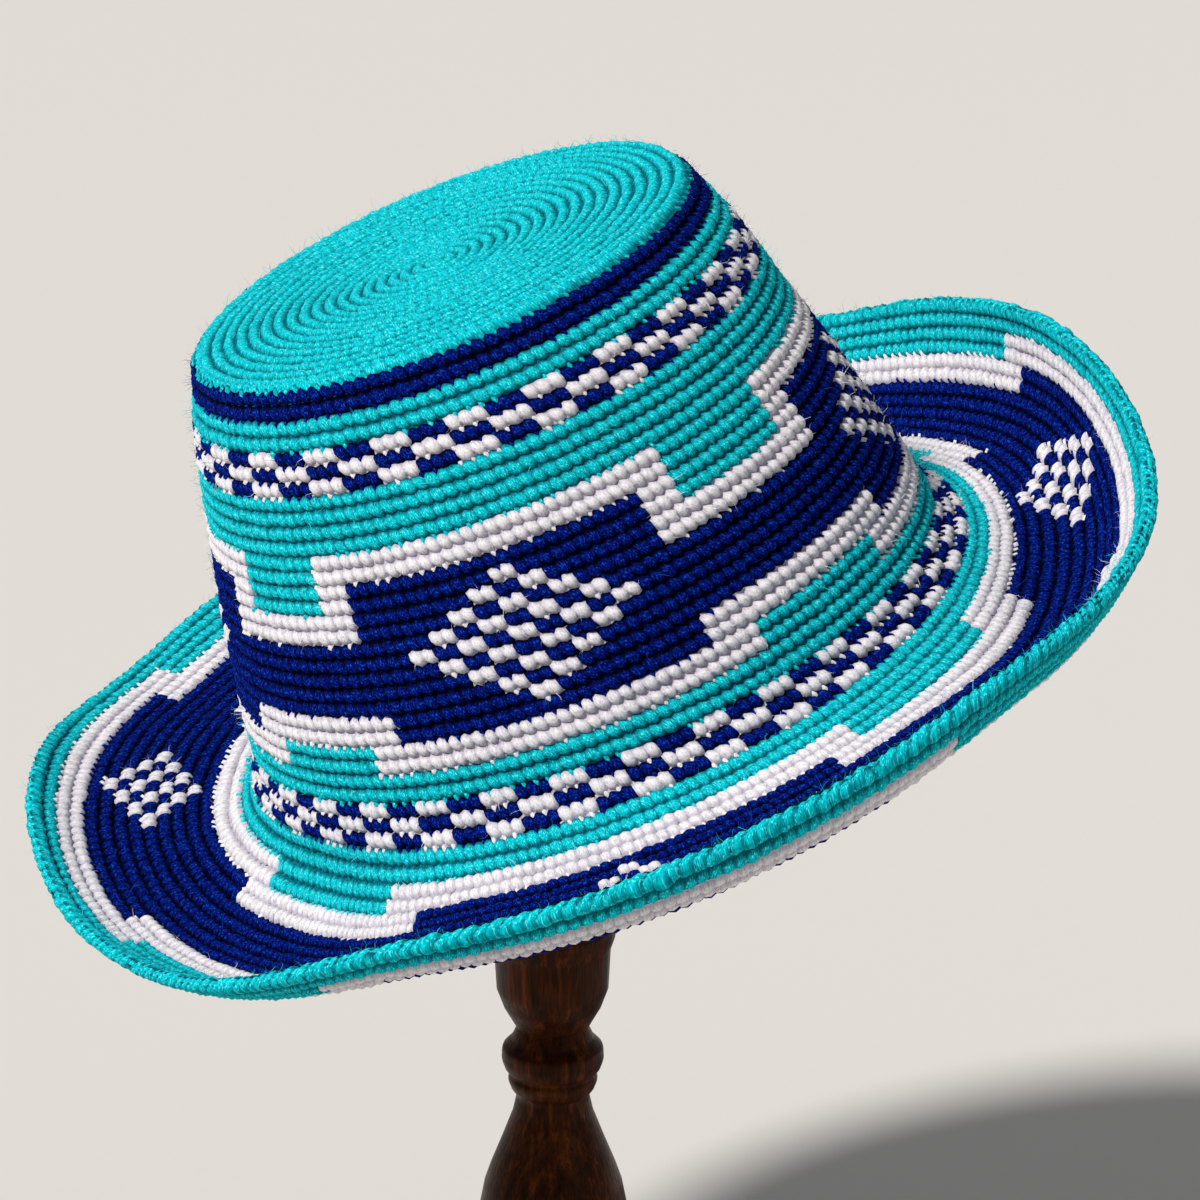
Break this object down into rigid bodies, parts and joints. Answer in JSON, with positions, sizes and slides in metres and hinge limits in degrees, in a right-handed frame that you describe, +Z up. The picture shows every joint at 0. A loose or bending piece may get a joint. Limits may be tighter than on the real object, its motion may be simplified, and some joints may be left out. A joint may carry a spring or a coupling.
{
  "type": "crochet bucket hat on a turned wooden stand",
  "caption": "Flat-topped crochet bucket hat with a tapered crown and a brim curled up all round, leaning on a plain turned wooden stand.",
  "frame": {"origin": "centre of the underside of the stand's foot", "axes": "+Z up along the stand's axis; the hat's front faces -Y and it leans down towards -X"},
  "size_m": [0.2866, 0.3086, 0.3847],
  "materials": {
    "turquoise_yarn": "fuzzy crocheted yarn",
    "patterned_yarn": "fuzzy crocheted yarn in navy, white and turquoise",
    "brim_yarn": "fuzzy crocheted yarn in navy, white and turquoise",
    "edge_yarn": "fuzzy crocheted yarn, corded edge",
    "dark_wood": "satin dark stain"
  },
  "bodies": {
    "root": {"crown_top": "turquoise_yarn", "crown_shoulder": "patterned_yarn", "crown_wall": "patterned_yarn", "crown_band": "patterned_yarn", "brim_inner": "brim_yarn", "brim_outer": "brim_yarn", "brim_edging": "edge_yarn", "stand_dome": "dark_wood", "stand_spindle": "dark_wood", "stand_base": "dark_wood"}
  },
  "joints": []
}
